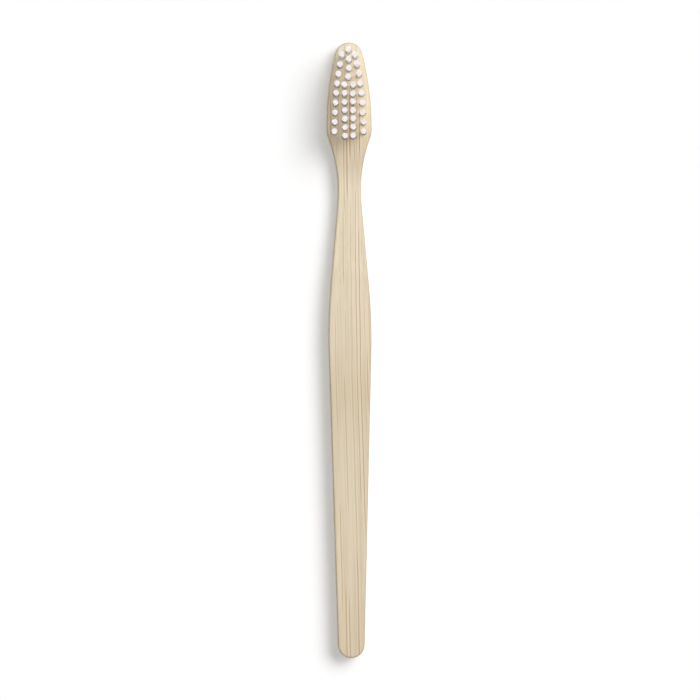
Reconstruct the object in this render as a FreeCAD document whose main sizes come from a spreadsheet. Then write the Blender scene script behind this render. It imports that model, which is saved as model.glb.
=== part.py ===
import FreeCAD, Part
import math
import os
import Sketcher
from FreeCAD import Vector

# A manual toothbrush with a one-piece bamboo handle, lying on its back.
# X runs across the brush, Y along it towards the head tip, and Z up through the bristles.
# The origin is on the flat back, half way along the brush. All sizes are in millimetres.

doc = FreeCAD.newDocument("toothbrush")

# Driving dimensions
SIZES = [
    ("overall_length", 190.0, "head tip to handle end"),
    ("head_tip_radius", 4.25, "round nose of the head"),
    ("head_width", 13.9, "widest place of the head"),
    ("head_widest_from_tip", 25.5, "where the head is widest"),
    ("shoulder_from_tip", 28.2, "where the neck's sweep would reach the full head width"),
    ("shoulder_radius", 3.5, "rounding between head side and neck"),
    ("neck_width", 7.1, "narrowest place of the neck"),
    ("neck_from_tip", 45.8, "where the neck is narrowest"),
    ("flare_straight", 25.0, "straight stretch between neck and grip"),
    ("flare_neck_share", 0.2, "share of the flare's bending that is at the neck"),
    ("grip_width", 13.25, "widest place of the grip"),
    ("grip_from_tip", 91.5, "where the grip is widest"),
    ("grip_radius", 120.0, "turn from the grip into the taper"),
    ("end_radius", 4.1, "round end of the handle"),
    ("head_thickness", 5.0, "back to front face at the head and neck"),
    ("grip_rise", 1.4, "front face of the grip above that of the head"),
    ("face_rise_from_tip", 50.0, "where the front face starts to rise"),
    ("face_rise_length", 34.0, "length over which it rises to the grip"),
    ("front_round", 0.6, "rounded edge of the front face"),
    ("back_round", 1.8, "rounded edge of the back"),
    ("hole_diameter", 1.6, "tuft hole"),
    ("hole_depth", 3.2, "tuft hole, from the front face of the head"),
    ("tuft_clearance", 0.05, "gap between a tuft and the wall of its hole"),
    ("tuft_height", 10.5, "free bristle length above the head"),
    ("tuft_end_diameter", 1.9, "tuft at its trimmed end"),
    ("tuft_end_round", 0.25, "bevel of the trimmed end"),
    ("tuft_fold", 0.7, "folded bristles under an anchor"),
    ("anchor_bite", 0.12, "how far an anchor reaches into the wood at each side"),
    ("anchor_thickness", 0.3, "anchor plate along the brush"),
    ("anchor_height", 1.4, "anchor plate along the hole"),
    ("tip_tuft_from_tip", 2.9, "the single tuft at the nose"),
    ("inner_first_from_tip", 5.95, "first row of the middle tufts"),
    ("inner_pitch", 2.58, "spacing of the middle rows"),
    ("inner_offset", 1.3, "inner columns from the middle line"),
    ("outer_first_from_tip", 4.5, "first row of the outer tufts"),
    ("outer_pitch", 2.92, "spacing of the outer rows"),
    ("outer_front_inset", 2.2, "outer columns inside the nose radius, at the front row"),
    ("outer_rear_inset", 2.48, "outer columns inside the widest place of the head, at the rear row"),
]

# Counts of tufts
SINGLE_ROWS = 3
INNER_ROWS = 7
OUTER_ROWS = 9

# The handle is milled from a strip this many times thicker than the grip
STOCK_THICKNESS = 1.5
# Cuts run past the brush by this share of its length
OVERRUN = 0.05

sheet = doc.addObject("Spreadsheet::Sheet", "sizes")
for row, (alias, number, meaning) in enumerate(SIZES, start=1):
    sheet.set(f"A{row}", alias)
    sheet.set(f"B{row}", str(number))
    sheet.set(f"C{row}", meaning)
    sheet.setAlias(f"B{row}", alias)
doc.recompute()


def value(formula):
    """The number that a formula over the sheet's sizes gives."""
    return float(sheet.evalExpression(formula))


def from_tip(distance):
    """The formula for the Y of a place that is given by its distance from the head tip."""
    return f"(sizes.overall_length / 2 - ({distance}))"


def bind(piece, **formulas):
    """Let properties of a piece follow formulas, with dots in their names written as double underscores."""
    for name, formula in formulas.items():
        piece.setExpression(name.replace("__", "."), formula)


def place(piece, across, along, up):
    """Let the place of a piece follow three formulas."""
    bind(piece, Placement__Base__x=across, Placement__Base__y=along, Placement__Base__z=up)


def origin_plane(body, role):
    """One of the body's own origin planes."""
    return next(plane for plane in body.Origin.OriginFeatures if plane.Role == role)


def new_sketch(body, name, role):
    """An empty sketch on one of the body's origin planes."""
    sketch = body.newObject("Sketcher::SketchObject", name)
    sketch.AttachmentSupport = [(origin_plane(body, role), "")]
    sketch.MapMode = "FlatFace"
    return sketch


def dimension(sketch, name, formula, kind, *where):
    """Add a named dimension that follows a formula."""
    row = sketch.addConstraint(Sketcher.Constraint(kind, *where, value(formula)))
    sketch.renameConstraint(row, name)
    bind(sketch, **{f"Constraints__{name}": formula})


# How a sketch numbers the points of an element, and its own origin and upright axis
START, END, CENTRE = range(1, 4)
ORIGIN, AXIS_Y = range(-1, -3, -1)


def add_line(sketch, first, last):
    """A straight element, with its first and last point."""
    index = sketch.addGeometry(Part.LineSegment(Vector(*first), Vector(*last)))
    return index, START, END


def add_arc(sketch, centre, first, last, hollow=False):
    """A round element, with its first and last point; a hollow one turns clockwise."""
    radius = math.dist(centre, first)
    angles = [math.atan2(y - centre[1], x - centre[0]) for x, y in (first, last)]
    if hollow:
        angles.reverse()
    circle = Part.Circle(Vector(*centre), Vector(0, 0, 1), radius)
    index = sketch.addGeometry(Part.ArcOfCircle(circle, *angles))
    return (index, END, START) if hollow else (index, START, END)


def join(sketch, kind, elements):
    """Join each element's last point to the first point of the next."""
    for (before, _, last), (after, first, _) in zip(elements, elements[1:]):
        sketch.addConstraint(Sketcher.Constraint(kind, before, last, after, first))


def on_circle(centre, radius, angle):
    """A point of a circle."""
    return centre[0] + radius * math.cos(angle), centre[1] + radius * math.sin(angle)


def towards(centre, radius, target):
    """The point of a circle that faces a target."""
    return on_circle(centre, radius, math.atan2(target[1] - centre[1], target[0] - centre[0]))


# The handle's outline, from the end up the right side to the head tip

HEAD_HALF = "(sizes.head_width / 2)"
NECK_HALF = "(sizes.neck_width / 2)"
GRIP_HALF = "(sizes.grip_width / 2)"
TIP_Y = from_tip("0")
END_Y = from_tip("sizes.overall_length")
WIDEST_Y = from_tip("sizes.head_widest_from_tip")
NECK_Y = from_tip("sizes.neck_from_tip")
GRIP_Y = from_tip("sizes.grip_from_tip")

# The head's side is an arc that leaves the nose without a corner and is widest where the sheet says
SIDE_RADIUS = (
    f"(({HEAD_HALF}^2 - sizes.head_tip_radius^2 + (sizes.head_widest_from_tip - sizes.head_tip_radius)^2)"
    f" / (2 * ({HEAD_HALF} - sizes.head_tip_radius)))"
)
# The sweep from the neck's narrowest place up to the shoulder
SWEEP_RADIUS = (
    f"(((sizes.neck_from_tip - sizes.shoulder_from_tip)^2 + ({HEAD_HALF} - {NECK_HALF})^2)"
    f" / (2 * ({HEAD_HALF} - {NECK_HALF})))"
)
# The flare from neck to grip is two arcs with a straight stretch between them
FLARE_RADII = (
    f"(((sizes.grip_from_tip - sizes.neck_from_tip)^2 + ({GRIP_HALF} - {NECK_HALF})^2"
    f" - sizes.flare_straight^2) / (2 * ({GRIP_HALF} - {NECK_HALF})))"
)
FLARE_NECK_RADIUS = f"({FLARE_RADII} * sizes.flare_neck_share)"


def meeting_point(centre_a, radius_a, centre_b, radius_b):
    """The upper one of the two points where two circles meet."""
    apart = math.dist(centre_a, centre_b)
    along = (apart**2 + radius_a**2 - radius_b**2) / (2 * apart)
    turn = math.acos(along / radius_a)
    heading = math.atan2(centre_b[1] - centre_a[1], centre_b[0] - centre_a[0])
    return max((on_circle(centre_a, radius_a, heading + way * turn) for way in (-1, 1)), key=lambda p: p[1])


def draw_outline(sketch):
    """The right half of the handle seen from above, closed along the middle line."""
    end_y, grip_y, neck_y, widest_y, tip_y = (value(y) for y in (END_Y, GRIP_Y, NECK_Y, WIDEST_Y, TIP_Y))
    head_half, neck_half, grip_half = (value(half) for half in (HEAD_HALF, NECK_HALF, GRIP_HALF))
    end_radius, grip_radius, tip_radius, shoulder_radius = (
        value(f"sizes.{name}") for name in ("end_radius", "grip_radius", "head_tip_radius", "shoulder_radius")
    )
    side_radius, sweep_radius = value(SIDE_RADIUS), value(SWEEP_RADIUS)
    flare_radii, neck_radius = value(FLARE_RADII), value(FLARE_NECK_RADIUS)

    end_centre = (0, end_y + end_radius)
    grip_centre = (grip_half - grip_radius, grip_y)
    tip_centre = (0, tip_y - tip_radius)
    side_centre = (head_half - side_radius, widest_y)
    sweep_centre = (neck_half + sweep_radius, neck_y)
    shoulder_centre = meeting_point(
        side_centre, side_radius - shoulder_radius, sweep_centre, sweep_radius + shoulder_radius
    )

    # The taper touches the end round and the grip arc
    heading = math.atan2(end_centre[1] - grip_centre[1], end_centre[0] - grip_centre[0])
    taper = heading + math.acos((grip_radius - end_radius) / math.dist(grip_centre, end_centre))
    # The flare's straight stretch touches both of its arcs
    rise = grip_half - neck_half
    run = neck_y - grip_y
    apart = math.hypot(flare_radii - rise, run)
    flare = math.atan2(run, flare_radii - rise) - math.acos(flare_radii / apart)

    end = (0, end_y)
    taper_low = on_circle(end_centre, end_radius, taper)
    taper_high = on_circle(grip_centre, grip_radius, taper)
    grip = (grip_half, grip_y)
    flare_grip_centre = (grip_half - (flare_radii - neck_radius), grip_y)
    flare_low = on_circle(flare_grip_centre, flare_radii - neck_radius, flare)
    flare_neck_centre = (neck_half + neck_radius, neck_y)
    flare_high = on_circle(flare_neck_centre, neck_radius, math.pi + flare)
    neck = (neck_half, neck_y)
    sweep_top = towards(sweep_centre, sweep_radius, shoulder_centre)
    side_low = towards(side_centre, side_radius, shoulder_centre)
    side_high = towards(side_centre, side_radius, tip_centre)
    tip = (0, tip_y)

    end_arc = add_arc(sketch, end_centre, end, taper_low)
    taper_line = add_line(sketch, taper_low, taper_high)
    grip_arc = add_arc(sketch, grip_centre, taper_high, grip)
    flare_grip_arc = add_arc(sketch, flare_grip_centre, grip, flare_low)
    flare_line = add_line(sketch, flare_low, flare_high)
    flare_neck_arc = add_arc(sketch, flare_neck_centre, flare_high, neck, hollow=True)
    sweep_arc = add_arc(sketch, sweep_centre, neck, sweep_top, hollow=True)
    shoulder_arc = add_arc(sketch, shoulder_centre, sweep_top, side_low)
    side_arc = add_arc(sketch, side_centre, side_low, side_high)
    tip_arc = add_arc(sketch, tip_centre, side_high, tip)
    middle_line = add_line(sketch, tip, end)

    join(sketch, "Tangent", [
        end_arc, taper_line, grip_arc, flare_grip_arc, flare_line,
        flare_neck_arc, sweep_arc, shoulder_arc, side_arc, tip_arc,
    ])
    join(sketch, "Coincident", [tip_arc, middle_line, end_arc])
    for element, point in ((tip_arc, CENTRE), (tip_arc, END), (end_arc, CENTRE), (end_arc, START)):
        sketch.addConstraint(Sketcher.Constraint("PointOnObject", element[0], point, AXIS_Y))
    for element, point in ((flare_grip_arc, START), (flare_neck_arc, START)):
        sketch.addConstraint(Sketcher.Constraint("Horizontal", element[0], CENTRE, element[0], point))

    dimension(sketch, "tip_along", TIP_Y, "DistanceY", ORIGIN, START, tip_arc[0], END)
    dimension(sketch, "tip_radius", "sizes.head_tip_radius", "Radius", tip_arc[0])
    dimension(sketch, "end_along", f"-{END_Y}", "DistanceY", end_arc[0], START, ORIGIN, START)
    dimension(sketch, "end_radius", "sizes.end_radius", "Radius", end_arc[0])
    dimension(sketch, "widest_along", WIDEST_Y, "DistanceY", ORIGIN, START, side_arc[0], CENTRE)
    dimension(sketch, "side_radius", SIDE_RADIUS, "Radius", side_arc[0])
    dimension(sketch, "shoulder_radius", "sizes.shoulder_radius", "Radius", shoulder_arc[0])
    dimension(sketch, "sweep_radius", SWEEP_RADIUS, "Radius", sweep_arc[0])
    dimension(sketch, "neck_across", NECK_HALF, "DistanceX", ORIGIN, START, sweep_arc[0], END)
    dimension(sketch, "neck_along", NECK_Y, "DistanceY", ORIGIN, START, sweep_arc[0], END)
    dimension(sketch, "flare_neck_radius", FLARE_NECK_RADIUS, "Radius", flare_neck_arc[0])
    dimension(sketch, "flare_straight", "sizes.flare_straight", "Distance", flare_line[0])
    dimension(sketch, "grip_across", GRIP_HALF, "DistanceX", ORIGIN, START, grip_arc[0], END)
    dimension(sketch, "grip_along", GRIP_Y, "DistanceY", ORIGIN, START, grip_arc[0], END)
    dimension(sketch, "grip_radius", "sizes.grip_radius", "Radius", grip_arc[0])


# The handle's front face in side view

RISE_LOW_Y = from_tip("sizes.face_rise_from_tip")
RISE_HIGH_Y = from_tip("sizes.face_rise_from_tip + sizes.face_rise_length")
# The rise is two equal arcs, hollow and then round
RISE_RADIUS = "((sizes.face_rise_length^2 + sizes.grip_rise^2) / (4 * sizes.grip_rise))"
GRIP_THICKNESS = "(sizes.head_thickness + sizes.grip_rise)"
PAST_TIP_Y = f"({TIP_Y} + sizes.overall_length * {OVERRUN})"
PAST_END_Y = f"({END_Y} - sizes.overall_length * {OVERRUN})"
STOCK_TOP = f"({GRIP_THICKNESS} * {STOCK_THICKNESS})"


def draw_face_cut(sketch):
    """What is planed off above the front face, seen from the side."""
    past_tip_y, rise_low_y, rise_high_y, past_end_y = (
        value(y) for y in (PAST_TIP_Y, RISE_LOW_Y, RISE_HIGH_Y, PAST_END_Y)
    )
    head_z, grip_z = value("sizes.head_thickness"), value(GRIP_THICKNESS)
    top_z, radius = value(STOCK_TOP), value(RISE_RADIUS)
    middle = ((rise_low_y + rise_high_y) / 2, (head_z + grip_z) / 2)
    corners = [(past_tip_y, head_z), (past_tip_y, top_z), (past_end_y, top_z), (past_end_y, grip_z)]

    head_line = add_line(sketch, corners[0], (rise_low_y, head_z))
    hollow_arc = add_arc(sketch, (rise_low_y, head_z + radius), (rise_low_y, head_z), middle, hollow=True)
    round_arc = add_arc(sketch, (rise_high_y, grip_z - radius), middle, (rise_high_y, grip_z))
    grip_line = add_line(sketch, (rise_high_y, grip_z), corners[3])
    end_line = add_line(sketch, corners[3], corners[2])
    top_line = add_line(sketch, corners[2], corners[1])
    tip_line = add_line(sketch, corners[1], corners[0])

    join(sketch, "Tangent", [head_line, hollow_arc, round_arc, grip_line])
    join(sketch, "Coincident", [grip_line, end_line, top_line, tip_line, head_line])
    for line in (head_line, grip_line, top_line):
        sketch.addConstraint(Sketcher.Constraint("Horizontal", line[0]))
    for line in (tip_line, end_line):
        sketch.addConstraint(Sketcher.Constraint("Vertical", line[0]))
    dimension(sketch, "past_tip", PAST_TIP_Y, "DistanceX", ORIGIN, START, head_line[0], START)
    dimension(sketch, "head_face", "sizes.head_thickness", "DistanceY", ORIGIN, START, head_line[0], START)
    dimension(sketch, "rise_low", RISE_LOW_Y, "DistanceX", ORIGIN, START, head_line[0], END)
    dimension(sketch, "rise_radius", RISE_RADIUS, "Radius", hollow_arc[0])
    dimension(sketch, "rise_high", RISE_HIGH_Y, "DistanceX", ORIGIN, START, grip_line[0], START)
    dimension(sketch, "grip_face", GRIP_THICKNESS, "DistanceY", ORIGIN, START, grip_line[0], START)
    dimension(sketch, "past_end", f"-{PAST_END_Y}", "DistanceX", grip_line[0], END, ORIGIN, START)
    dimension(sketch, "stock_top", STOCK_TOP, "DistanceY", ORIGIN, START, top_line[0], START)


# Where the tufts stand on the head

SIDES = (("left", -1), ("right", 1))
OUTER_FRONT = "(sizes.head_tip_radius - sizes.outer_front_inset)"
OUTER_REAR = f"({HEAD_HALF} - sizes.outer_rear_inset)"


def tuft_places():
    """The name of each tuft, with the formulas for its place across and along the head."""
    places = [("tuft_tip", "0", from_tip("sizes.tip_tuft_from_tip"))]
    for row in range(SINGLE_ROWS):
        along = from_tip(f"sizes.inner_first_from_tip + {row} * sizes.inner_pitch")
        places.append((f"tuft_single_{row + 1}", "0", along))
    for row in range(INNER_ROWS):
        along = from_tip(f"sizes.inner_first_from_tip + {SINGLE_ROWS + row} * sizes.inner_pitch")
        for side, sign in SIDES:
            places.append((f"tuft_inner_{side}_{row + 1}", f"{sign} * sizes.inner_offset", along))
    for row in range(OUTER_ROWS):
        along = from_tip(f"sizes.outer_first_from_tip + {row} * sizes.outer_pitch")
        # The outer columns close in towards the nose along a parabola
        closing = ((OUTER_ROWS - 1 - row) / (OUTER_ROWS - 1)) ** 2
        across = f"({OUTER_REAR} - {closing} * ({OUTER_REAR} - {OUTER_FRONT}))"
        for side, sign in SIDES:
            places.append((f"tuft_outer_{side}_{row + 1}", f"{sign} * {across}", along))
    return places


def draw_holes(sketch, places):
    """A circle for each tuft, all of one size."""
    radius = value("sizes.hole_diameter / 2")
    circles = []
    for name, across, along in places:
        centre = Vector(value(across), value(along))
        circle = sketch.addGeometry(Part.Circle(centre, Vector(0, 0, 1), radius))
        dimension(sketch, f"{name}_across", across, "DistanceX", ORIGIN, START, circle, CENTRE)
        dimension(sketch, f"{name}_along", along, "DistanceY", ORIGIN, START, circle, CENTRE)
        circles.append(circle)
    dimension(sketch, "hole_radius", "sizes.hole_diameter / 2", "Radius", circles[0])
    for circle in circles[1:]:
        sketch.addConstraint(Sketcher.Constraint("Equal", circles[0], circle))


# Anchor plates and the slits that they sit in

HOLE_FLOOR = "(sizes.head_thickness - sizes.hole_depth)"
ANCHOR_FOOT = f"({HOLE_FLOOR} + sizes.tuft_fold)"
ANCHOR_WIDTH = "(sizes.hole_diameter + 2 * sizes.anchor_bite)"


def plate(name, across, along, foot, height):
    """A thin upright plate of the anchor's width and thickness, centred on a tuft."""
    box = doc.addObject("Part::Box", name)
    bind(box, Length=ANCHOR_WIDTH, Width="sizes.anchor_thickness", Height=height)
    place(box, f"{across} - {ANCHOR_WIDTH} / 2", f"{along} - sizes.anchor_thickness / 2", foot)
    return box


def group(name, pieces):
    """Separate solids that share one node."""
    compound = doc.addObject("Part::Compound", name)
    compound.Links = pieces
    return compound


def make_anchors(places):
    """The metal plates that hold the folded tufts."""
    return group("tuft_anchors", [
        plate(name.replace("tuft", "anchor"), across, along, ANCHOR_FOOT, "sizes.anchor_height")
        for name, across, along in places
    ])


def make_slits(places):
    """What the plates cut out of the wood on their way down from the face."""
    return group("anchor_slits", [
        plate(name.replace("tuft", "slit"), across, along, ANCHOR_FOOT, "sizes.hole_depth")
        for name, across, along in places
    ])


# The handle

# A face counts as a wall or as level if its normal is this close to it
TILT_LIMIT = 0.1


def rim_edges(shape, facing):
    """The names of the edges where the side wall meets the face that looks up (1) or down (-1)."""
    names = []
    for number, edge in enumerate(shape.Edges, start=1):
        middle = edge.valueAt((edge.FirstParameter + edge.LastParameter) / 2)
        faces = shape.ancestorsOfType(edge, Part.Face)
        tilts = sorted(face.normalAt(*face.Surface.parameter(middle)).z * facing for face in faces)
        if abs(tilts[0]) < TILT_LIMIT and tilts[-1] > 1 - TILT_LIMIT:
            names.append(f"Edge{number}")
    return names


def round_rim(body, name, base, facing, radius):
    """Round the front or back rim of the handle."""
    fillet = body.newObject("PartDesign::Fillet", name)
    fillet.Base = (base, rim_edges(base.Shape, facing))
    bind(fillet, Radius=radius)
    doc.recompute()
    return fillet


def make_handle(places):
    """The bamboo handle: milled to its outline, planed, rounded, drilled and slit."""
    body = doc.addObject("PartDesign::Body", "handle_drilled")
    outline = new_sketch(body, "outline", "XY_Plane")
    draw_outline(outline)
    half = body.newObject("PartDesign::Pad", "half_strip")
    half.Profile = outline
    bind(half, Length=STOCK_TOP)
    whole = body.newObject("PartDesign::Mirrored", "whole_strip")
    whole.Originals = [half]
    whole.MirrorPlane = (origin_plane(body, "YZ_Plane"), [""])
    body.Tip = whole

    face_cut = new_sketch(body, "face_cut", "YZ_Plane")
    draw_face_cut(face_cut)
    planed = body.newObject("PartDesign::Pocket", "planed_face")
    planed.Profile = face_cut
    planed.Type = "ThroughAll"
    planed.SideType = "Symmetric"
    doc.recompute()
    front = round_rim(body, "front_rim", planed, 1, "sizes.front_round")
    back = round_rim(body, "back_rim", front, -1, "sizes.back_round")

    hole_plan = new_sketch(body, "hole_plan", "XY_Plane")
    bind(hole_plan, AttachmentOffset__Base__z="sizes.head_thickness")
    draw_holes(hole_plan, places)
    drilled = body.newObject("PartDesign::Pocket", "tuft_holes")
    drilled.Profile = hole_plan
    bind(drilled, Length="sizes.hole_depth")
    doc.recompute()
    for before, after in ((whole, planed), (back, drilled)):
        if after.Shape.Volume >= before.Shape.Volume:
            raise RuntimeError(f"{after.Label} cuts nothing")

    handle = doc.addObject("Part::Cut", "handle")
    handle.Base = body
    handle.Tool = make_slits(places)
    return handle


# The tufts

TUFT_ROOT_RADIUS = "(sizes.hole_diameter / 2 - sizes.tuft_clearance)"
TUFT_END_RADIUS = "(sizes.tuft_end_diameter / 2)"
TUFT_TOP_RADIUS = f"({TUFT_END_RADIUS} - sizes.tuft_end_round)"
STRAIGHT_HEIGHT = "(sizes.tuft_height - sizes.tuft_end_round)"


def make_bundle():
    """A folded bundle of bristles that stands on z = 0: its root, its free length and its bevelled end."""
    root = doc.addObject("Part::Cylinder", "bundle_root")
    bind(root, Radius=TUFT_ROOT_RADIUS, Height="sizes.hole_depth")
    free = doc.addObject("Part::Cone", "bundle_free")
    bind(free, Radius1=TUFT_ROOT_RADIUS, Radius2=TUFT_END_RADIUS, Height=STRAIGHT_HEIGHT)
    place(free, "0", "0", "sizes.hole_depth")
    end = doc.addObject("Part::Cone", "bundle_end")
    bind(end, Radius1=TUFT_END_RADIUS, Radius2=TUFT_TOP_RADIUS, Height="sizes.tuft_end_round")
    place(end, "0", "0", f"sizes.hole_depth + {STRAIGHT_HEIGHT}")
    bundle = doc.addObject("Part::MultiFuse", "bundle")
    bundle.Shapes = [root, free, end]
    return bundle


def make_tufts(places):
    """A copy of the bundle in each hole, split by its anchor plate."""
    bundle = make_bundle()
    window = plate("bundle_window", "0", "0", "sizes.tuft_fold", "sizes.anchor_height")
    tufts = []
    for name, across, along in places:
        tuft = doc.addObject("Part::Cut", name)
        tuft.Base = bundle
        tuft.Tool = window
        place(tuft, across, along, HOLE_FLOOR)
        tufts.append(tuft)
    return tufts


places = tuft_places()
sub_parts = [make_handle(places), make_anchors(places), *make_tufts(places)]
doc.recompute()

for piece in doc.Objects:
    if {"Invalid", "Error"} & set(piece.State):
        raise RuntimeError(f"{piece.Label} failed: {piece.State}")
for piece in sub_parts:
    if piece.Shape.isNull() or not piece.Shape.isValid():
        raise RuntimeError(f"{piece.Label} has no valid shape")

os.makedirs("parts", exist_ok=True)
for piece in sub_parts:
    piece.Shape.exportStep(f"parts/{piece.Label}.step")
    print(f"{piece.Label}: {len(piece.Shape.Solids)} solids, {piece.Shape.Volume:.2f} mm3")
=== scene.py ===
# %% [markdown]
# This lesson dresses a manual toothbrush that was first built as solids: a strip of bamboo with 36
# drilled holes, a bundle of nylon filaments in each hole, and a thin brass plate that holds each bundle
# in place. The brush lies on its back with its bristles up and its head towards +Y, and Blender's unit is
# the metre. The solids are loaded as a fixed frame and stay where they are, so a new piece goes where its
# solid is. Loading leaves every solid selected, so everything is deselected before anything new is made.

# %% Load the solids
import math
import random

import bpy
from mathutils import Matrix, Vector


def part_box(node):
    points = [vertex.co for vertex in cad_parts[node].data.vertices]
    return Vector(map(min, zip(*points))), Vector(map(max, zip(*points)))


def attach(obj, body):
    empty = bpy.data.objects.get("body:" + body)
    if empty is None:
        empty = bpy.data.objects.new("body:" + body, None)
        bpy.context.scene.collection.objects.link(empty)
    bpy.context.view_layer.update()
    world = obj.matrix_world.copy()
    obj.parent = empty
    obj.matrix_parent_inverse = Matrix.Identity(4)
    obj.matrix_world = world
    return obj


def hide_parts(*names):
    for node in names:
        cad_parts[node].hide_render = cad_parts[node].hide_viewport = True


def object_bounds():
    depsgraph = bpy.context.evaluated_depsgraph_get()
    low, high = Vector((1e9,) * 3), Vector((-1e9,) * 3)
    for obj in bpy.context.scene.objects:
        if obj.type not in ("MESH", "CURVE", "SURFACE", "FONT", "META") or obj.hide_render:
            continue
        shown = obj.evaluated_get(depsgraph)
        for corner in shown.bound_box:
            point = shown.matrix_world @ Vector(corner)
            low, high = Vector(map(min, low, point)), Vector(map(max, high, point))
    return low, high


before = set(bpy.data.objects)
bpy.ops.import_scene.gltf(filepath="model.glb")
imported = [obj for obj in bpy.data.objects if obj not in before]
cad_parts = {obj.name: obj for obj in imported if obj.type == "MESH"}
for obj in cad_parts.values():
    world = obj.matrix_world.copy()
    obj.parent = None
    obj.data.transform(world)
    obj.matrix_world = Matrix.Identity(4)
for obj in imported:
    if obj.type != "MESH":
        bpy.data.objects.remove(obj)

MM = 0.001
bpy.ops.object.select_all(action="DESELECT")
cad_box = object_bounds()
brush_length = cad_box[1].y - cad_box[0].y
print(f"Loaded {len(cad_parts)} nodes, {brush_length / MM:.1f} mm long")

# %% [markdown]
# The portrait is taken from straight above, and the brush fills most of the height of a square picture.
# The far sides of the bristles near the tip hardly show, which says that the camera stands well back with
# a long lens. A lens is chosen by its share: the width of the picture at the brush, over the distance.
# The brush is not quite upright in the picture, so the camera is rolled by a quarter of a degree.

# %% Camera
PICTURE_PIXELS = 700
BRUSH_PIXELS = 614.9
CAMERA_DISTANCE = 1.7
OUTLINE_HEIGHT = 3.2 * MM
CAMERA_ROLL = math.radians(-0.246)
CAMERA_ASIDE = (-0.03 * MM, 0.03 * MM)

picture_width = brush_length * PICTURE_PIXELS / BRUSH_PIXELS
bpy.ops.object.camera_add(
    location=(*CAMERA_ASIDE, OUTLINE_HEIGHT + CAMERA_DISTANCE), rotation=(0, 0, CAMERA_ROLL)
)
camera = bpy.context.active_object
camera.name = "portrait_camera"
camera.data.lens = camera.data.sensor_width * CAMERA_DISTANCE / picture_width
bpy.context.scene.camera = camera
print(f"Camera: {camera.data.lens:.1f} mm lens, {picture_width / MM:.1f} mm wide at the brush")

# %% [markdown]
# Next come some short helpers for node trees, because every finish below is made of nodes. Nodes could be
# placed one by one with their links written out, but a finish then takes pages and its idea is lost. One
# helper adds a node and fills its inputs: an input gets a link where a socket is given, and a plain value
# otherwise. Colours are named as they look on a screen and are turned into the light they stand for.

# %% Helpers for node trees
def add_node(tree, kind, sockets=(), **settings):
    """A new node with its settings, each input of sockets set to a value or linked to a socket."""
    node = tree.nodes.new(kind)
    for name, setting in settings.items():
        setattr(node, name, setting)
    for name, source in dict(sockets).items():
        if isinstance(source, bpy.types.NodeSocket):
            tree.links.new(source, node.inputs[name])
        else:
            node.inputs[name].default_value = source
    return node


def calculate(tree, operation, *terms, clamp=False):
    """The result of a math node on values or sockets."""
    node = add_node(tree, "ShaderNodeMath", enumerate(terms), operation=operation, use_clamp=clamp)
    return node.outputs["Value"]


def remap(tree, source, lowest, highest, first=0.0, last=1.0, smooth=False):
    """The source taken from its own range to a new one, and held at the ends."""
    ends = {"From Min": lowest, "From Max": highest, "To Min": first, "To Max": last}
    shape = "SMOOTHSTEP" if smooth else "LINEAR"
    node = add_node(tree, "ShaderNodeMapRange", {"Value": source, **ends}, interpolation_type=shape)
    return node.outputs["Result"]


def screen_colour(red, green, blue):
    """A colour named by its screen values from 0 to 255, as linear light."""
    levels = [level / 255 for level in (red, green, blue)]
    light = [((level + 0.055) / 1.055) ** 2.4 if level > 0.04 else level / 12.92 for level in levels]
    return (*light, 1.0)


def blend_colours(tree, factor, first, second, blend="MIX"):
    """Two colours mixed by a factor."""
    FACTOR, FIRST, SECOND, RESULT = 0, 6, 7, 2
    sockets = {FACTOR: factor, FIRST: first, SECOND: second}
    node = add_node(tree, "ShaderNodeMix", sockets, data_type="RGBA", blend_type=blend)
    return node.outputs[RESULT]


def new_material(name):
    """A material with its node tree and its main shader."""
    material = bpy.data.materials.new(name)
    material.use_nodes = True
    return material, material.node_tree, material.node_tree.nodes["Principled BSDF"]


print("Helpers ready, mid grey on screen is", round(screen_colour(128, 128, 128)[0], 3), "in light")

# %% [markdown]
# A studio table is a pale sheet between large soft lamps, with light from all round to fill the shadows.
# An area lamp could stand for each, but a sun lamp with a wide disc is as strong everywhere, so the floor
# stays even in every view. The key stands at the upper right and a weaker lamp further to the right, as
# the bright right rim of the handle and the shadow along its left show. A third lamp overhead reaches
# down between the bristles. Lamps and surroundings together light a level surface at exactly one, so
# colours look as they are named. The surroundings are dimmed only where they light things, and stay white
# where they are seen. White nylon hands light on from filament to filament, so light may bounce more
# often than Blender's usual 4.

# %% Light
KEY_SHARE, SIDE_SHARE, OVERHEAD_SHARE = 0.31, 0.19, 0.27
FILL_SHARE = 1 - KEY_SHARE - SIDE_SHARE - OVERHEAD_SHARE
LIGHT_BOUNCES = 12
LAMP_HEIGHT = 1.0


def add_lamp(name, share, elevation, bearing, disc):
    """A soft lamp that gives a level surface its share of the light, its angles in degrees."""
    tilt = (0, math.radians(90 - elevation), math.radians(bearing))
    bpy.ops.object.light_add(type="SUN", rotation=tilt, location=(0, 0, LAMP_HEIGHT))
    lamp = bpy.context.active_object
    lamp.name = name
    lamp.data.angle = math.radians(disc)
    lamp.data.energy = share * math.pi / math.sin(math.radians(elevation))
    return lamp


def seen_directly(tree):
    """1 for what is seen, straight, mirrored or through glass, and 0 for light on its way to others."""
    rays = tree.nodes.new("ShaderNodeLightPath").outputs
    seen = calculate(tree, "MAXIMUM", rays["Is Camera Ray"], rays["Is Glossy Ray"])
    return calculate(tree, "MAXIMUM", seen, rays["Is Transmission Ray"])


key = add_lamp("soft_key", KEY_SHARE, elevation=50, bearing=45, disc=36)
side = add_lamp("soft_side", SIDE_SHARE, elevation=50, bearing=20, disc=36)
overhead = add_lamp("overhead", OVERHEAD_SHARE, elevation=89.5, bearing=25, disc=3)

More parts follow.
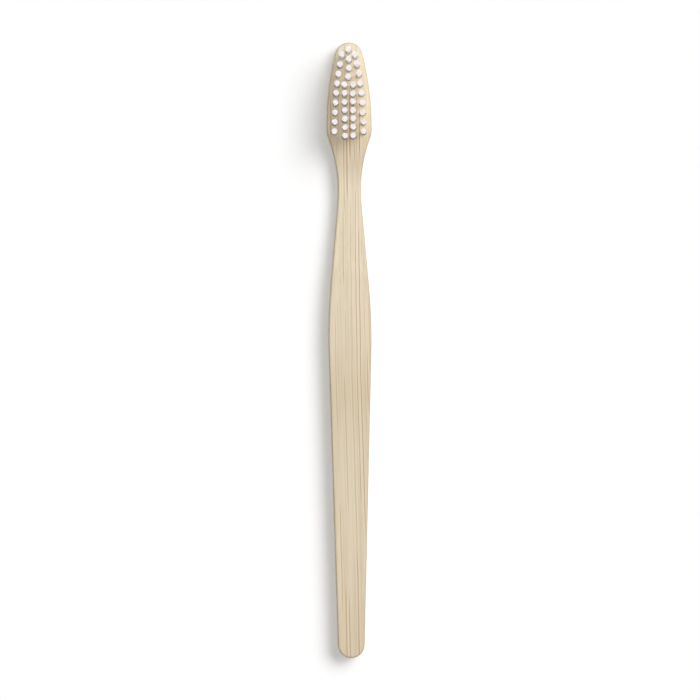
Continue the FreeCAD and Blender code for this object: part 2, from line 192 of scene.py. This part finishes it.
world = bpy.data.worlds.new("studio")
world.use_nodes = True
bpy.context.scene.world = world
sky = world.node_tree
fill = sky.nodes["Background"].inputs
fill["Color"].default_value = (1, 1, 1, 1)
sky.links.new(remap(sky, seen_directly(sky), 0, 1, FILL_SHARE, 1), fill["Strength"])
bpy.context.scene.view_settings.view_transform = "Standard"
bpy.context.scene.cycles.diffuse_bounces = LIGHT_BOUNCES
strengths = [f"{lamp.name} {lamp.data.energy:.2f}" for lamp in (key, side, overhead)]
print("Lamps:", strengths, f"fill {FILL_SHARE:.2f}")

# %% [markdown]
# The floor is a plain sheet just under the brush. White paper gives back nearly all the light, and a
# little glow that only the picture sees makes up the rest. Where the brush keeps the lamps off, the sheet
# still shows a soft shadow, which a floor that only glows would lose.

# %% Floor
FLOOR_SIDE = 6.0
FLOOR_GAP = 0.05 * MM
PAPER = 0.99
PAPER_GLOW = 0.015

bpy.ops.mesh.primitive_plane_add(size=FLOOR_SIDE, location=(0, 0, -FLOOR_GAP))
floor = bpy.context.active_object
floor.name = "studio_floor"
paper, tree, shader = new_material("white_paper")
shader.inputs["Base Color"].default_value = (PAPER, PAPER, PAPER, 1)
shader.inputs["Roughness"].default_value = 1.0
shader.inputs["Specular IOR Level"].default_value = 0.0
shader.inputs["Emission Color"].default_value = (1, 1, 1, 1)
glow = calculate(tree, "MULTIPLY", seen_directly(tree), PAPER_GLOW)
tree.links.new(glow, shader.inputs["Emission Strength"])
floor.data.materials.append(paper)
print("Floor laid", FLOOR_GAP / MM, "mm under the brush")

# %% [markdown]
# Bamboo is not like other wood: it has no rings, only stiff brown fibre bundles that run side by side
# along the stem through paler, softer tissue. Sawn lengthways, they show as long thin lines. The pattern
# could be painted on each face, but a solid pattern that fills the space runs on over the rounded edges
# by itself. The first group places a point among the fibres: how far across, deep and along it is, in
# millimetres. The fibres lean a little towards the end of this handle and they wander, so the place
# across follows them.

# %% The place of a point among the fibres
LEAN_START, LEAN_END = 35.0, -105.0
FIBRE_LEAN = 2.35
WANDER_LENGTH = 30.0
WANDER_WIDTH = 0.25


def new_group(name, inputs, outputs):
    """A shader node group of numbers: the group, the sockets of its inputs and of its outputs."""
    group = bpy.data.node_groups.new(name, "ShaderNodeTree")
    for label, usual in inputs.items():
        socket = group.interface.new_socket(label, in_out="INPUT", socket_type="NodeSocketFloat")
        socket.default_value = usual
    for label in outputs:
        group.interface.new_socket(label, in_out="OUTPUT", socket_type="NodeSocketFloat")
    return group, group.nodes.new("NodeGroupInput").outputs, group.nodes.new("NodeGroupOutput").inputs


def use_group(tree, group, **inputs):
    """The outputs of a group placed in a tree, its inputs named with _ for a space."""
    sockets = {label.replace("_", " "): source for label, source in inputs.items()}
    return add_node(tree, "ShaderNodeGroup", sockets, node_tree=group).outputs


fibre_place, _, found = new_group("fibre_place", {}, ["Across", "Along", "Deep"])
point = fibre_place.nodes.new("ShaderNodeTexCoord").outputs["Object"]
axes = add_node(fibre_place, "ShaderNodeSeparateXYZ", {"Vector": point}).outputs
across, along, deep = (calculate(fibre_place, "DIVIDE", axes[axis], MM) for axis in "XYZ")
lean = remap(fibre_place, along, LEAN_START, LEAN_END, 0, FIBRE_LEAN, smooth=True)
steps = calculate(fibre_place, "DIVIDE", along, WANDER_LENGTH)
noise = add_node(fibre_place, "ShaderNodeTexNoise", {"W": steps, "Scale": 1.0}, noise_dimensions="1D")
wander = remap(fibre_place, noise.outputs["Fac"], 0, 1, -WANDER_WIDTH, WANDER_WIDTH)
shift = calculate(fibre_place, "ADD", lean, wander)
fibre_place.links.new(calculate(fibre_place, "SUBTRACT", across, shift), found["Across"])
fibre_place.links.new(along, found["Along"])
fibre_place.links.new(deep, found["Deep"])
print("Fibre places: lean", FIBRE_LEAN, "mm, wander", WANDER_WIDTH, "mm")

# %% [markdown]
# The tissue between the fibres lies in bands and thin lines, some pinker and some more yellow, because
# the stem grew unevenly. Stripes of a wave texture would be too regular, so this group is a soft noise
# stretched along the grain. Its width, its length and a seed are inputs, so it can be used for bands of
# any kind.

# %% Bands of tissue
SEED_STEP = 13.7
NOISE_LOW, NOISE_HIGH = 0.34, 0.66


def fibre_vector(tree, place, width, length, seed):
    """A point among the fibres in steps of a width and a length, for a texture."""
    start = calculate(tree, "MULTIPLY", seed, SEED_STEP)
    sides = [calculate(tree, "DIVIDE", place[name], width) for name in ("Across", "Deep")]
    run = calculate(tree, "DIVIDE", place["Along"], length)
    across, along = (calculate(tree, "ADD", steps, start) for steps in (sides[0], run))
    axes = {"X": across, "Y": along, "Z": sides[1]}
    return add_node(tree, "ShaderNodeCombineXYZ", axes).outputs["Vector"]


fibre_bands, given, found = new_group("fibre_bands", {"Width": 1, "Length": 50, "Seed": 0}, ["Value"])
place = use_group(fibre_bands, fibre_place)
vector = fibre_vector(fibre_bands, place, given["Width"], given["Length"], given["Seed"])
noise = add_node(fibre_bands, "ShaderNodeTexNoise", {"Vector": vector, "Scale": 1.0, "Detail": 1.5})
fibre_bands.links.new(remap(fibre_bands, noise.outputs["Fac"], NOISE_LOW, NOISE_HIGH), found["Value"])
print("Group of the tissue:", fibre_bands.name)

# %% [markdown]
# The fibre bundles are thin brown rods in that tissue. Lines on the faces would do from above, but a rod
# has to show as a dot on a cut end too. So each one is the middle of a Voronoi cell across the grain, as
# dark as chance makes it, and the bands of the group above let it fade in and out along the handle.

# %% Bundles of fibres
BUNDLE_EDGE, BUNDLE_CORE = 0.30, 0.14
FADED_BUNDLE = 0.35
fibre_bundles, given, found = new_group("fibre_bundles", {"Width": 1, "Length": 60, "Seed": 0}, ["Mask"])
place = use_group(fibre_bundles, fibre_place)
sides = [calculate(fibre_bundles, "DIVIDE", place[name], given["Width"]) for name in ("Across", "Deep")]
section = add_node(fibre_bundles, "ShaderNodeCombineXYZ", dict(zip("XY", sides))).outputs["Vector"]
cells = add_node(
    fibre_bundles, "ShaderNodeTexVoronoi", {"Vector": section, "Scale": 1.0}, voronoi_dimensions="2D"
).outputs
core = remap(fibre_bundles, cells["Distance"], BUNDLE_EDGE, BUNDLE_CORE, smooth=True)
chance = add_node(fibre_bundles, "ShaderNodeSeparateColor", {"Color": cells["Color"]}).outputs["Red"]
stretch = {"Width": given["Width"], "Length": given["Length"], "Seed": given["Seed"]}
fading = use_group(fibre_bundles, fibre_bands, **stretch)["Value"]
fading = remap(fibre_bundles, fading, 0, 1, FADED_BUNDLE, 1)
strength = calculate(fibre_bundles, "MULTIPLY", chance, fading)
fibre_bundles.links.new(calculate(fibre_bundles, "MULTIPLY", core, strength), found["Mask"])
print("Group of the bundles:", fibre_bundles.name)

# %% [markdown]
# A few strong brown streaks are what one recognises this handle by, and noise would never hit them, so
# this group draws one streak at a given place. A streak has paler tissue along its flanks and fades at
# both ends. It lies just under the front face, which rises from the head to the grip, and mirrored under
# the back, so that the sides and the cut ends show no bars.

# %% One brown streak
STREAK_FADE = 6.0
STREAK_FULL_DEPTH, STREAK_NO_DEPTH = 0.6, 1.4
RISE_START, RISE_END = 45.0, 11.0
PALE_FLANK, PALE_INSIDE, PALE_OUTSIDE = 0.3, 1.2, 2.6
HEAD_FACE = 5.0 * MM
grip_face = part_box("handle")[1].z / MM
usual = {"Across": 0, "Start": -10, "End": 10, "Width": 0.4}
brown_streak, given, found = new_group("brown_streak", usual, ["Mask"])
place = use_group(brown_streak, fibre_place)
deep = place["Deep"]
face = remap(brown_streak, place["Along"], RISE_START, RISE_END, HEAD_FACE / MM, grip_face, smooth=True)
below_face = calculate(brown_streak, "SUBTRACT", face, deep)
facing = calculate(brown_streak, "SIGN", calculate(brown_streak, "SUBTRACT", deep, below_face))
across = calculate(brown_streak, "MULTIPLY", place["Across"], facing)
aside = calculate(brown_streak, "SUBTRACT", across, given["Across"])
aside = calculate(brown_streak, "ABSOLUTE", calculate(brown_streak, "DIVIDE", aside, given["Width"]))
core = remap(brown_streak, aside, 1, 0, smooth=True)
beside = calculate(brown_streak, "SUBTRACT", 1.0, core)
flank = remap(brown_streak, aside, PALE_OUTSIDE, PALE_INSIDE, 0, PALE_FLANK, smooth=True)
body = calculate(brown_streak, "SUBTRACT", core, calculate(brown_streak, "MULTIPLY", flank, beside))
under = calculate(brown_streak, "MINIMUM", below_face, deep)
fade = remap(brown_streak, under, STREAK_NO_DEPTH, STREAK_FULL_DEPTH, smooth=True)
body = calculate(brown_streak, "MULTIPLY", body, fade)
for end, inwards in (("Start", 1), ("End", -1)):
    reach = calculate(brown_streak, "SUBTRACT", place["Along"], given[end])
    fade = remap(brown_streak, reach, 0, inwards * STREAK_FADE, smooth=True)
    body = calculate(brown_streak, "MULTIPLY", body, fade)
brown_streak.links.new(body, found["Mask"])
print("Groups so far:", [group.name for group in bpy.data.node_groups])

# %% [markdown]
# What makes this handle itself is where its streaks lie. They could be left to chance, but then it would
# be any handle. The streaks are listed instead, as a painter of grain would place them, in millimetres:
# where each is across the handle, where it starts and ends along it, how wide it is, and last how strong.
# The tones are stops of a ramp along the handle. Some are the stem's own uneven colour, and some are
# painted shade: darker just below and among the tufts, where their shadow falls, and towards the end.

# %% Streaks and tones of this handle
STREAKS = [
    (0.25, 57, 83, 0.4, 1.0),
    (3.2, 57, 76, 0.34, 0.95),
    (-5.65, 62, 80, 0.4, 0.7),
    (-3.8, 56, 68, 0.3, 0.55),
    (1.7, 55, 66, 0.28, 0.9),
    (-0.72, 45, 70, 0.3, 1.15),
    (-1.7, 40, 68, 0.26, 0.75),
    (-2.05, 18, 46, 0.25, 0.7),
    (0.3, -8, 48, 0.24, 0.55),
    (0.17, -64, -2, 0.24, 0.5),
    (1.75, -50, 53, 0.24, 0.85),
    (2.82, -60, 40, 0.26, 0.95),
    (5.68, -9, 19, 0.32, 0.6),
    (3.8, 28, 42, 0.24, 0.6),
    (4.35, 22, 36, 0.24, 0.55),
    (4.9, -20, 2, 0.25, 0.75),
    (4.15, 3, 20, 0.22, 0.4),
    (-4.8, -27, 12, 0.24, 0.55),
    (-1.65, -5, 14, 0.24, 0.6),
    (-2.25, -52, -6, 0.24, 0.55),
    (-4.82, -82, -46, 0.26, 0.75),
    (-3.66, -102, -71, 0.32, 0.75),
    (-2.64, -102, -74, 0.3, 0.75),
    (0.14, -102, -60, 0.3, 0.8),
]
# Stops of the ramp: the place along the handle in millimetres and a tint. The darker stops below and
# among the tufts and towards the end paint shade, and the rest are the stem's own uneven colour.
TONES_AND_SHADE = [
    (-90, (233, 227, 218)),
    (-60, (243, 240, 236)),
    (-30, (241, 238, 234)),
    (-14, (235, 231, 223)),
    (2, (246, 244, 241)),
    (30, (250, 249, 247)),
    (50, (253, 252, 250)),
    (57, (233, 229, 223)),
    (63, (240, 234, 227)),
    (70, (246, 242, 236)),
    (82, (250, 247, 242)),
    (88, (255, 254, 253)),
]


def tone_and_shade_along(tree, along):
    """The slow change of tone and painted shade from the handle's end to its head, as a ramp of pale
    tints.
    """
    low, high = TONES_AND_SHADE[0][0], TONES_AND_SHADE[-1][0]
    ramp = add_node(tree, "ShaderNodeValToRGB", {"Fac": remap(tree, along, low, high)})
    stops = ramp.color_ramp.elements
    while len(stops) < len(TONES_AND_SHADE):
        stops.new(1.0)
    for stop, (place, tone) in zip(stops, TONES_AND_SHADE):
        stop.position = (place - low) / (high - low)
        stop.color = screen_colour(*tone)
    return ramp.outputs["Color"]


print(len(STREAKS), "streaks and", len(TONES_AND_SHADE), "tones, from", TONES_AND_SHADE[0][0], "to", TONES_AND_SHADE[-1][0], "mm")

# %% [markdown]
# The bamboo finish puts all this together from the palest tissue to the darkest streak, each layer mixed
# over the ones before. The rounded edges and the sides are painted browner, as painted shade where the
# surface turns away from the lamps above. The handle is lightly waxed, so it has a soft sheen. The fibres
# stand a little proud of the tissue, and a faint bump shows that well enough, where a real relief would
# need far too many faces.

# %% Bamboo
PINK_TISSUE = screen_colour(228, 215, 192)
YELLOW_TISSUE = screen_colour(219, 207, 179)
LINE_BROWN = screen_colour(186, 165, 130)
STREAK_BROWN = screen_colour(180, 145, 98)
PALE_TISSUE = screen_colour(240, 228, 207)
LINE_SHARE, THREAD_SHARE, BUNDLE_SHARE = 0.2, 0.5, 0.5
# Painted shade on the rounded edges and sides: where the brown starts and is full, by how upright the
# normal is, and how much brown.
EDGE_START, EDGE_FULL = 0.98, 0.75
EDGE_SHADE_SHARE = 0.45
WAX_SMOOTH, WAX_ROUGH = 0.42, 0.56
FIBRE_RISE = 0.02 * MM


def build_bamboo():
    """Sanded and waxed bamboo, its grain along the handle."""
    material, tree, shader = new_material("waxed_bamboo")
    bands = use_group(tree, fibre_bands, Width=1.7, Length=40, Seed=1)["Value"]
    colour = blend_colours(tree, bands, PINK_TISSUE, YELLOW_TISSUE)
    lines = use_group(tree, fibre_bands, Width=0.32, Length=45, Seed=2)["Value"]
    colour = blend_colours(tree, calculate(tree, "MULTIPLY", lines, LINE_SHARE), colour, LINE_BROWN)
    threads = use_group(tree, fibre_bundles, Width=0.42, Length=14, Seed=5)["Mask"]
    colour = blend_colours(tree, calculate(tree, "MULTIPLY", threads, THREAD_SHARE), colour, LINE_BROWN)
    bundles = use_group(tree, fibre_bundles, Width=0.8, Length=70, Seed=3)["Mask"]
    colour = blend_colours(tree, calculate(tree, "MULTIPLY", bundles, BUNDLE_SHARE), colour, LINE_BROWN)
    streaks = 0.0
    for across, start, end, width, strength in STREAKS:
        streak = use_group(tree, brown_streak, Across=across, Start=start, End=end, Width=width)["Mask"]
        streaks = calculate(tree, "MULTIPLY_ADD", streak, strength, streaks)
    colour = blend_colours(tree, calculate(tree, "MAXIMUM", streaks, 0.0), colour, STREAK_BROWN)
    pale = calculate(tree, "MULTIPLY", calculate(tree, "MINIMUM", streaks, 0.0), -1.0)
    colour = blend_colours(tree, pale, colour, PALE_TISSUE)
    # Painted shade: faces that turn away from straight up or down, the rounded edges and the sides, are
    # mixed towards brown.
    normal = tree.nodes.new("ShaderNodeTexCoord").outputs["Normal"]
    upright = add_node(tree, "ShaderNodeSeparateXYZ", {"Vector": normal}).outputs["Z"]
    upright = calculate(tree, "ABSOLUTE", upright)
    edge_shade = remap(tree, upright, EDGE_START, EDGE_FULL, 0, EDGE_SHADE_SHARE, smooth=True)
    colour = blend_colours(tree, edge_shade, colour, LINE_BROWN)
    # Painted shade: the ramp darkens the bamboo just below and among the tufts and towards the end of the
    # handle.
    tone = tone_and_shade_along(tree, use_group(tree, fibre_place)["Along"])
    colour = blend_colours(tree, 1.0, colour, tone, "MULTIPLY")
    tree.links.new(colour, shader.inputs["Base Color"])

    fibres = use_group(tree, fibre_bands, Width=0.14, Length=9, Seed=4)["Value"]
    tree.links.new(remap(tree, fibres, 0, 1, WAX_SMOOTH, WAX_ROUGH), shader.inputs["Roughness"])
    height = calculate(tree, "ADD", fibres, bundles)
    bump = add_node(tree, "ShaderNodeBump", {"Height": height, "Strength": 0.35, "Distance": FIBRE_RISE})
    tree.links.new(bump.outputs["Normal"], shader.inputs["Normal"])
    return material


bamboo = build_bamboo()
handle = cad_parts["handle"]
handle.material_slots[0].material = bamboo
print("Bamboo on the handle, nodes:", len(bamboo.node_tree.nodes))

# %% [markdown]
# A bristle is a straight nylon filament, cut to length and then ground round at its end so that it does
# not scratch. At a fifth of a millimetre across it could be a hair curve, but a library part needs real
# meshes. There are about eighteen hundred of them, so the filament has six sides and only the rings that
# it needs: it is extruded upwards from a small disc at the bottom of its hole, with two shrinking rings
# for the round end. It is modelled about the place where it leaves the wood, so z = 0 is the face of the
# head.

# %% One filament
FILAMENT_SIDES = 6
FILAMENT_PITCH = 0.178 * MM
FILAMENT_GAP = 0.006 * MM
FILAMENT_RADIUS = (FILAMENT_PITCH - FILAMENT_GAP) / math.sqrt(3)
END_RINGS = [(0.012 * MM, 0.92), (0.012 * MM, 0.7)]
ROOT_SHARES, SHAFT_SHARES = (0.6, 0.4), (0.5, 0.5)

tuft_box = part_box("tuft_tip")
root_depth = HEAD_FACE - tuft_box[0].z
tip_height = tuft_box[1].z - HEAD_FACE
round_height = sum(step for step, shrink in END_RINGS)
sections = [share * root_depth for share in ROOT_SHARES] + [share * tip_height for share in SHAFT_SHARES]
sections[-1] -= round_height

bpy.ops.mesh.primitive_circle_add(
    vertices=FILAMENT_SIDES, radius=FILAMENT_RADIUS, fill_type="NGON", location=(0, 0, -root_depth)
)
filament = bpy.context.active_object
filament.name = "filament"
bpy.ops.object.transform_apply(location=True)
bpy.ops.object.mode_set(mode="EDIT")
bpy.ops.mesh.select_all(action="SELECT")
for rise, shrink in [(section, 1) for section in sections] + END_RINGS:
    bpy.ops.mesh.extrude_region_move(TRANSFORM_OT_translate={"value": (0, 0, rise)})
    bpy.ops.transform.resize(value=(shrink, shrink, 1), center_override=(0, 0, 0))
bpy.ops.mesh.select_all(action="SELECT")
bpy.ops.mesh.normals_make_consistent(inside=False)
bpy.ops.object.mode_set(mode="OBJECT")
bpy.ops.object.shade_smooth()
heights = [corner.co.z / MM for corner in filament.data.vertices]
print(f"Filament: {len(filament.data.polygons)} faces, {min(heights):.2f} to {max(heights):.2f} mm")

# %% [markdown]
# No two filaments take the light alike, which is what makes a bundle read as many strands. Each could
# have a material of its own, but a noise finer than a filament is thick, and long along it, gives each
# its own tone by its place alone. Rolled metal shows such fine lines too, so the noise is a group, and
# its inputs say how many steps it has in a metre along each axis.

# %% Fine drawn lines
drawn_lines, given, found = new_group("drawn_lines", {"X": 1, "Y": 1, "Z": 1}, ["Tone"])
point = drawn_lines.nodes.new("ShaderNodeTexCoord").outputs["Object"]
per_metre = add_node(drawn_lines, "ShaderNodeCombineXYZ", {axis: given[axis] for axis in "XYZ"})
stretch = {"Vector": point, "Scale": per_metre.outputs["Vector"]}
steps = add_node(drawn_lines, "ShaderNodeMapping", stretch).outputs["Vector"]
noise = add_node(drawn_lines, "ShaderNodeTexNoise", {"Vector": steps, "Scale": 1.0})
drawn_lines.links.new(remap(drawn_lines, noise.outputs["Fac"], NOISE_LOW, NOISE_HIGH), found["Tone"])
print("Group of the lines:", drawn_lines.name)

# %% [markdown]
# Nylon is almost white, and a bundle of it looks bright with soft grey between the filaments. Light could
# be let through the filaments, but among so many it would be lost, so a broad sheen gives the glow of
# their thin edges instead. The ground ends look faintly pink and the smooth shafts plain white, so the
# height decides between the two.

# %% Nylon
END_BRIGHT = screen_colour(252, 244, 246)
END_SHADE = screen_colour(249, 240, 243)
SHAFT_BRIGHT = screen_colour(252, 249, 246)
SHAFT_SHADE = screen_colour(247, 244, 241)
END_ZONE = 0.2 * MM
NYLON_SMOOTH, NYLON_ROUGH = 0.3, 0.45
end_level = HEAD_FACE + tip_height - END_ZONE

nylon, tree, shader = new_material("bristle_nylon")
tone = use_group(tree, drawn_lines, X=7000, Y=7000, Z=90)["Tone"]
ends = blend_colours(tree, tone, END_BRIGHT, END_SHADE)
shafts = blend_colours(tree, tone, SHAFT_BRIGHT, SHAFT_SHADE)
point = tree.nodes.new("ShaderNodeTexCoord").outputs["Object"]
height = add_node(tree, "ShaderNodeSeparateXYZ", {"Vector": point}).outputs["Z"]
ground = remap(tree, height, end_level - END_ZONE, end_level)
tree.links.new(blend_colours(tree, ground, shafts, ends), shader.inputs["Base Color"])
tree.links.new(remap(tree, tone, 0, 1, NYLON_SMOOTH, NYLON_ROUGH), shader.inputs["Roughness"])
shader.inputs["Sheen Weight"].default_value = 1.0
shader.inputs["Sheen Roughness"].default_value = 0.8
filament.data.materials.append(nylon)
print("Nylon on the filament, its ends from", round(end_level / MM, 2), "mm up")

# %% [markdown]
# A bundle is as many filaments as its hole can take. They could be scattered by chance, but some would
# then run through each other. Filaments with six sides pack like a honeycomb, as tightly as real ones do,
# so they stand on such a net, inside a round outline, each leant a little and trimmed a little shorter by
# chance.

# %% Filaments side by side
BUNDLE_RADIUS = 0.76 * MM
ROW_STEP = math.sqrt(0.75)
LEAN_SPREAD = math.radians(0.05)
TRIM_DEPTH = 0.03 * MM
TRIM_SPREAD = 0.04 * MM
DICE_SEED = 36
dice = random.Random(DICE_SEED)


def copy_of(piece, place):
    """A copy of a piece with its own mesh, the place put into the mesh."""
    twin = piece.copy()
    twin.data = piece.data.copy()
    twin.data.transform(place)
    bpy.context.scene.collection.objects.link(twin)
    return twin


def honeycomb(aside):
    """The places of a honeycomb inside the bundle's outline, its middle moved aside."""
    reach = BUNDLE_RADIUS - FILAMENT_RADIUS
    furthest = math.ceil(2 * reach / FILAMENT_PITCH)
    steps = range(-furthest, furthest + 1)
    net = [Vector((column + row / 2, row * ROW_STEP)) for row in steps for column in steps]
    places = [place * FILAMENT_PITCH + aside for place in net]
    return [place for place in places if place.length < reach]


def stand_filament(place):
    """A filament of the bundle at its place, with its own small lean and trim."""
    lean_axis = Vector((1, 0, 0))
    lean_axis.rotate(Matrix.Rotation(dice.uniform(0, math.tau), 3, "Z"))
    lean = Matrix.Rotation(dice.gauss(0, LEAN_SPREAD), 4, lean_axis)
    trim = Matrix.Translation((0, 0, -TRIM_DEPTH - abs(dice.gauss(0, TRIM_SPREAD))))
    return copy_of(filament, Matrix.Translation((*place, 0)) @ lean @ trim)


print("Filaments in a bundle: about", len(honeycomb(Vector((0, 0)))))

# %% [markdown]
# A machine folds the bundle in half, drives it into its hole with a flat plate across the fold, and then
# trims all the ends level. The fold itself is out of sight, so the filaments are only joined into one
# mesh. A Taper of the Simple Deform modifier opens the bundle towards its end. At the root the two halves
# are pressed together and parted for the plate. Six different bundles are enough, because two neighbours
# rarely show the same one the same way round.

# %% Bundles of filaments
END_SPREAD = 1.25
ROOT_START = 0.3
ROOT_SQUEEZE = 0.78
PLATE_ROOM = 0.16 * MM
BUNDLE_KINDS = 6


def select_root(bundle, side):
    """Selects the corners of a bundle's root, on one side of the plate or on both (0)."""
    bpy.ops.mesh.select_all(action="DESELECT")
    bpy.ops.object.mode_set(mode="OBJECT")
    for corner in bundle.data.vertices:
        corner.select = corner.co.z < -ROOT_START * root_depth and corner.co.y * side >= 0
    bpy.ops.object.mode_set(mode="EDIT")


def make_bundle(number):
    """A trimmed bundle of filaments, parted at its root for the plate."""
    aside = Vector((dice.uniform(-0.5, 0.5), dice.uniform(-0.5, 0.5))) * FILAMENT_PITCH
    strands = [stand_filament(place) for place in honeycomb(aside)]
    bpy.ops.object.select_all(action="DESELECT")
    for strand in strands:
        strand.select_set(True)
    bpy.context.view_layer.objects.active = strands[0]
    bpy.ops.object.join()
    bundle = strands[0]
    bundle.name = f"bundle_{number}"
    bundle.data.transform(Matrix.Rotation(dice.uniform(0, math.tau), 4, "Z"))

    taper = bundle.modifiers.new("opening", "SIMPLE_DEFORM")
    taper.deform_method = "TAPER"
    taper.deform_axis = "Z"
    taper.factor = (END_SPREAD - 1) * (root_depth + tip_height) / tip_height
    bpy.ops.object.modifier_apply(modifier=taper.name)

    bpy.ops.object.mode_set(mode="EDIT")
    bpy.ops.mesh.select_mode(type="VERT")
    select_root(bundle, 0)
    bpy.ops.transform.resize(value=(1, ROOT_SQUEEZE, 1), center_override=(0, 0, 0))
    for side in (-1, 1):
        select_root(bundle, side)
        bpy.ops.transform.translate(value=(0, side * PLATE_ROOM, 0))
    bpy.ops.object.mode_set(mode="OBJECT")
    return bundle


bundles = [make_bundle(number + 1) for number in range(BUNDLE_KINDS)]
widths = [max(corner.co.xy.length for corner in bundle.data.vertices) * 2 / MM for bundle in bundles]
print("Bundles:", [f"{width:.2f} mm" for width in widths], len(bundles[0].data.polygons), "faces each")

# %% [markdown]
# Each hole gets its own copy of a bundle, about half of them turned right round so that neighbours
# differ. A tuft never stands quite straight after its hole is filled, so each copy leans by up to a
# degree or so. The tufts also fan out towards the tip, where nothing stands in front of them: the further
# forward a tuft is, the more its free length leans forwards, and a little to the left, while its root
# stays in its hole. The copy takes the place of the plain solid, and the solid is hidden but stays for
# the simulation.

# %% Tufts in their holes
TUFT_LEAN = math.radians(0.4)
FAN_SLOPE = Vector((-0.019, 0.035, 0))
tuft_names = sorted(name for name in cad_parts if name.startswith("tuft_") and name != "tuft_anchors")
middles = [sum(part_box(name), Vector()) / 2 for name in tuft_names]
rear_row, front_row = min(middle.y for middle in middles), max(middle.y for middle in middles)


def fan_out(tuft, slope):
    """Leans the free length of a tuft and leaves its root."""
    for corner in tuft.data.vertices:
        corner.co += slope * max(corner.co.z - HEAD_FACE, 0)


for number, (name, middle) in enumerate(zip(tuft_names, middles)):
    place = Matrix.Translation((middle.x, middle.y, HEAD_FACE))
    tilt = Matrix.Rotation(dice.gauss(0, TUFT_LEAN), 4, "X")
    lean = tilt @ Matrix.Rotation(dice.gauss(0, TUFT_LEAN), 4, "Y")
    turn = Matrix.Rotation(math.pi * dice.randrange(2), 4, "Z")
    tuft = copy_of(bundles[number % BUNDLE_KINDS], place @ lean @ turn)
    fan_out(tuft, FAN_SLOPE * (middle.y - rear_row) / (front_row - rear_row))
    tuft.name = name.replace("tuft", "bristles")
    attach(tuft, "root")
    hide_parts(name)
for pattern in [filament, *bundles]:
    bpy.data.objects.remove(pattern)
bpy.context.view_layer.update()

# %% [markdown]
# The plates that hold the tufts are punched from hard brass strip, so they show the fine lines of rolling
# and a soft gloss. The solids already have the right shape, so they only get a finish, with the group of
# fine lines run along the plates. They sit deep in the holes, where hardly any light reaches them, so
# their brass is painted far darker than new brass, as painted shade that keeps the lamps from glinting on
# them.

# %% Brass plates
# Painted shade: both brass tones are far darker than new brass, for plates that sit deep in their holes.
BRASS_BRIGHT = screen_colour(140, 113, 68)
BRASS_DULL = screen_colour(104, 80, 46)
BRASS_SMOOTH, BRASS_ROUGH = 0.5, 0.65

brass, tree, shader = new_material("rolled_brass")
tone = use_group(tree, drawn_lines, X=900, Y=20000, Z=20000)["Tone"]
tree.links.new(blend_colours(tree, tone, BRASS_BRIGHT, BRASS_DULL), shader.inputs["Base Color"])
tree.links.new(remap(tree, tone, 0, 1, BRASS_SMOOTH, BRASS_ROUGH), shader.inputs["Roughness"])
shader.inputs["Metallic"].default_value = 1.0
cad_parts["tuft_anchors"].material_slots[0].material = brass
print("Brass on the plates")
